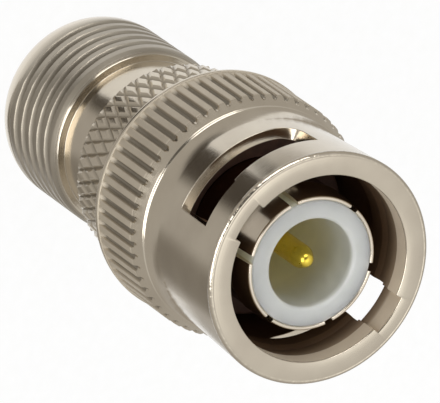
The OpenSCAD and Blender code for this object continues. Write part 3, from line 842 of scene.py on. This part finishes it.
def make_insulators():
    back, seat = WEB_FRONT + SEAT_PLAY, COLLAR_FRONT + SEAT_PLAY
    plug = lathe([(COLLAR_HOLE, back), (PLUG_R, back), (PLUG_R, TIP), (CAVITY_R + CAVITY_CHAMFER, TIP),
                  (CAVITY_R, TIP - CAVITY_CHAMFER), (CAVITY_R, CAVITY_FLOOR), (PIN_HOLE, CAVITY_FLOOR),
                  (PIN_HOLE, seat), (COLLAR_HOLE, seat)],
                 [0, 0.1, 0.07, 0.05, 0.05, 0.25, 0.02, 0.02, 0.02], columns=128)
    plug.piece("plug_insulator_ring", plug_white_painted, "body", "white_polymer", "plug_insulator", sharp=50)
    seat = COLLAR_BACK - SEAT_PLAY
    jack = lathe([(SOCKET_HOLE, NOSE_END), (NOSE_R, NOSE_END), (NOSE_R, WEB_BACK), (JACK_R, WEB_BACK),
                  (JACK_R, WEB_FRONT), (COLLAR_HOLE, WEB_FRONT), (COLLAR_HOLE, seat), (SOCKET_HOLE, seat)],
                 [0.06, 0.12, 0.06, 0.08, 0.05, 0.02, 0.02, 0.02], columns=96)
    jack.piece("jack_insulator_ring", white, "body", "white_polymer", "jack_insulator", sharp=50)


# Centre contact

SOCKET_BORE, SOCKET_END, SOCKET_FLOOR, SOCKET_ROUND = 0.69, 1.80, 6.3, 0.15
SOCKET_ROWS, SOCKET_COLUMNS = (3.0, 4.2, 5.3, SOCKET_FLOOR), 22
SLIT_HALF, SLIT_R = 0.11, 0.9
SHAFT_R = 1.0
# The pin's tip: a taper from the first height to the second, and then a rounded end with its corner's radius
TAPER_FROM, TAPER_TO, TAPER_R = 26.71, 27.2, 0.45
PIN_TIP, PIN_CORNER_R = 27.5, 0.32


def make_contact():
    """Slit socket below, collar between the insulators, pin above."""
    slit = math.asin(SLIT_HALF / SLIT_R)
    half = np.concatenate([[-slit, 0.0], np.linspace(slit, math.pi - slit, SOCKET_COLUMNS, endpoint=False)])
    angles = np.concatenate([half, half + math.pi]) + QUARTER

    def socket_wall(radius, widen):
        """From the socket's end, where the radius differs by widen, to its floor."""
        end = quarter_arc((radius + widen, SOCKET_END + SOCKET_ROUND), -widen, -SOCKET_ROUND, 3)
        return end[::-1] + [(radius, height) for height in SOCKET_ROWS]

    skin = Skin()
    outer = skin.turn(socket_wall(SOCKET_R, -0.10), angles)
    inner = skin.turn(socket_wall(SOCKET_BORE, 0.09), angles)
    hole = np.zeros((len(outer) - 1, len(angles)), bool)
    for start in (0, len(half)):
        hole[:-1, start:start + 2] = True
    skin.shell(outer, inner, hole)
    skin.rim(inner[0], outer[0], ~hole[0])
    skin.cap(inner[-1], SOCKET_FLOOR, up=False)
    rest = rounded([(SOCKET_R, SOCKET_FLOOR), (SOCKET_R, COLLAR_BACK), (COLLAR_R, COLLAR_BACK),
                    (COLLAR_R, COLLAR_FRONT), (SHAFT_R, COLLAR_FRONT), (SHAFT_R, CAVITY_FLOOR),
                    (PIN_R, CAVITY_FLOOR), (PIN_R, TAPER_FROM), (TAPER_R, TAPER_TO)],
                   [0, 0.025, 0.04, 0.04, 0.03, 0.06, 0.03, 0.21, 0], closed=False)[1:]
    rest += curve((TAPER_R, TAPER_TO), (PIN_CORNER_R, PIN_TIP), (0, PIN_TIP), 6)[1:-1]
    rings = [outer[-1], *skin.turn(rest, angles)]
    skin.chain(rings)
    skin.cap(rings[-1], PIN_TIP, up=True)
    skin.piece("centre_pin", gold, "body", "gold", "centre_contact", bevel=0.02, sharp=40)


# Gasket, thrust washer and wave spring in the nut's chamber

GASKET_BACK, GASKET_FRONT, GASKET_BORE = 20.18, 21.38, 3.97
WASHER_BACK, WASHER_FRONT, WASHER_BORE = 17.22, 17.62, 4.65
SPRING_BACK, SPRING_THICKNESS, SPRING_RISE, SPRING_WAVES = 17.64, 0.25, 0.525, 3
RING_COLUMNS, SPRING_COLUMNS = 96, 144


def make_stack():
    def ring(bore, back, front, sizes, columns, **more):
        return lathe([(bore, back), (STACK_R, back), (STACK_R, front), (bore, front)], sizes, columns, **more)

    gasket = ring(GASKET_BORE, GASKET_BACK, GASKET_FRONT, [0.1, 0.25, 0.25, 0.1], RING_COLUMNS)
    gasket.piece("gasket_ring", seal, "body", "seal_rubber", "gasket", sharp=50)
    washer = ring(WASHER_BORE, WASHER_BACK, WASHER_FRONT, 0.06, RING_COLUMNS)
    washer.piece("washer_ring", steel, "washer", "spring_steel", "thrust_washer", sharp=50)
    wave = SPRING_RISE * (1 + np.sin(SPRING_WAVES * circle(SPRING_COLUMNS)))
    front = SPRING_BACK + SPRING_THICKNESS
    strip = ring(WASHER_BORE, SPRING_BACK, front, 0.06, SPRING_COLUMNS, steps=2, wave=wave)
    spring = strip.piece("wave_spring_strip", steel, "body", "spring_steel", "wave_spring", sharp=50)
    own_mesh(spring)


make_body()
make_nut()
make_fingers()
make_insulators()
make_contact()
make_stack()


# Stage: floor, world, lamps and camera

IMAGE_WIDTH, IMAGE_HEIGHT = 440, 403
FOCAL_PIXELS = 9000
# The photograph's view: the axis against the line of sight, the axis in the image, and the turn about it
VIEW_TILT, VIEW_ROLL, VIEW_TURN = math.radians(34.565), math.radians(35.419), math.radians(181.75)
# The mouth's centre from the camera: to the right, down and away
MOUTH_PLACE = Vector((5.4025, 3.6770, 489.136))
PAPER_GLOW = 0.94
PAPER_TONES = (0.985, 0.985, 0.98), (1.0, 1.0, 1.0)
# How far the paper reaches past the middle of the view, in half images: to the sides and below, and above
PAPER_REACH, PAPER_BACK_REACH = 1.04, 2.2
# Tones of the studio dome against the height of the direction
DOME = [(0.0, (0.50, 0.48, 0.45)), (0.35, (0.55, 0.54, 0.52)), (0.84, (0.82, 0.81, 0.79)),
        (1.0, (1.7, 1.69, 1.66))]
# Dim places of the dome: azimuth and elevation, the angles of full shade and of none, and the shade
DIM_PLACES = [((245, 48), 23, 42, (0.16, 0.15, 0.14)), ((240, -62), 11, 20, (0.15, 0.135, 0.12)),
              ((2, -60), 7, 17, (0.54, 0.52, 0.49))]
# What the lamps face, in metres
LAMP_AIM = Vector((0, 0, 0.015))


def toward(azimuth, elevation):
    """Unit vector in a direction given in degrees."""
    a, e = math.radians(azimuth), math.radians(elevation)
    return np.array([math.cos(a) * math.cos(e), math.sin(a) * math.cos(e), math.sin(e)])


def make_floor(camera):
    """A plain sheet of white paper under the view, with a soft shadow. It glows when seen or reflected."""
    eye, turn = camera.matrix_world.translation, camera.matrix_world.to_3x3()
    corners = []
    for across, up in ((-1, -1), (1, -1), (1, 1), (-1, 1)):
        reach = PAPER_BACK_REACH if up > 0 else PAPER_REACH
        x, y = across * PAPER_REACH * IMAGE_WIDTH / 2, up * reach * IMAGE_HEIGHT / 2
        ray = turn @ Vector((x, y, -FOCAL_PIXELS))
        corners.append(eye - ray * eye.z / ray.z)
    mesh = bpy.data.meshes.new("floor")
    mesh.from_pydata(corners, [], [(0, 1, 2, 3)])
    floor = bpy.data.objects.new("floor", mesh)
    bpy.context.scene.collection.objects.link(floor)
    material, shade, shader = new_material("floor_paper")
    shade.nodes.remove(shader)
    paper = shade.toned(shade.noise(shade.place(), scale=1500.0, detail=4.0), PAPER_TONES)
    diffuse = shade.node("BsdfDiffuse", {"Color": paper})
    glow = shade.node("Emission", {"Color": paper})
    path = shade.node("LightPath", {}).outputs
    seen = shade.math("MAXIMUM", path["Is Camera Ray"], path["Is Glossy Ray"])
    seen = shade.math("MAXIMUM", seen, path["Is Transmission Ray"])
    share = shade.math("MULTIPLY", seen, PAPER_GLOW)
    mix = shade.node("MixShader", {"Fac": share, 1: diffuse.outputs[0], 2: glow.outputs[0]})
    shade.put(mix.outputs[0], shade.nodes["Material Output"].inputs["Surface"])
    mesh.materials.append(material)


def make_world():
    """Studio dome: bright overhead, grey below, and dim where the photographer stands."""
    world = bpy.data.worlds.new("studio")
    bpy.context.scene.world = world
    world.use_nodes = True
    shade = Shade(world.node_tree)
    place = shade.place("Generated")
    colour = shade.ramp(shade.height(place), DOME)
    for direction, full, clear, tone in DIM_PLACES:
        near = shade.node("VectorMath", {0: place, 1: toward(*direction)}, operation="DOT_PRODUCT")
        stops = [(math.cos(math.radians(clear)), PLAIN), (math.cos(math.radians(full)), tone)]
        colour = shade.times(colour, shade.ramp(near.outputs["Value"], stops, "EASE"))
    shade.fill(shade.nodes["Background"], {"Color": colour, "Strength": 1.0})


def make_lamp(name, azimuth, elevation, distance, size, power):
    """An area lamp that faces the part, placed by its direction from there, in degrees and metres."""
    direction = Vector(toward(azimuth, elevation))
    data = bpy.data.lights.new(name, "AREA")
    data.shape = "RECTANGLE"
    data.size, data.size_y = size
    data.energy = power
    lamp = bpy.data.objects.new(name, data)
    lamp.location = LAMP_AIM + direction * distance
    lamp.rotation_mode = "QUATERNION"
    lamp.rotation_quaternion = direction.to_track_quat("Z", "Y")
    bpy.context.scene.collection.objects.link(lamp)


def make_camera():
    """The photograph's view, from the fitted direction of the axis and the fitted place of the mouth."""
    sin_tilt, cos_tilt = math.sin(VIEW_TILT), math.cos(VIEW_TILT)
    sin_roll, cos_roll = math.sin(VIEW_ROLL), math.cos(VIEW_ROLL)
    axis = Vector((sin_tilt * cos_roll, sin_tilt * sin_roll, -cos_tilt))
    first = Vector((sin_roll, -cos_roll, 0))
    second = Vector((-cos_tilt * cos_roll, -cos_tilt * sin_roll, -sin_tilt))

    def across(turn):
        return first * math.cos(turn) + second * math.sin(turn)

    to_view = Matrix((across(VIEW_TURN), across(VIEW_TURN + QUARTER), axis)).transposed()
    eye = Vector((0, 0, MOUTH)) - to_view.transposed() @ MOUTH_PLACE
    turn = Matrix((to_view[0], -to_view[1], -to_view[2])).transposed()
    data = bpy.data.cameras.new("camera")
    data.sensor_width = 36.0
    data.lens = data.sensor_width * FOCAL_PIXELS / IMAGE_WIDTH
    data.clip_start, data.clip_end = 0.02, 20.0
    camera = bpy.data.objects.new("camera", data)
    camera.matrix_world = Matrix.Translation(eye * MM) @ turn.to_4x4()
    bpy.context.scene.collection.objects.link(camera)
    bpy.context.scene.camera = camera
    return camera


make_floor(make_camera())
make_world()
make_lamp("key_softbox", azimuth=303, elevation=27, distance=0.30, size=(0.26, 0.20), power=0.46)
make_lamp("fill_softbox", azimuth=222, elevation=26, distance=0.30, size=(0.20, 0.16), power=0.30)
bpy.context.scene.view_settings.view_transform = "Standard"
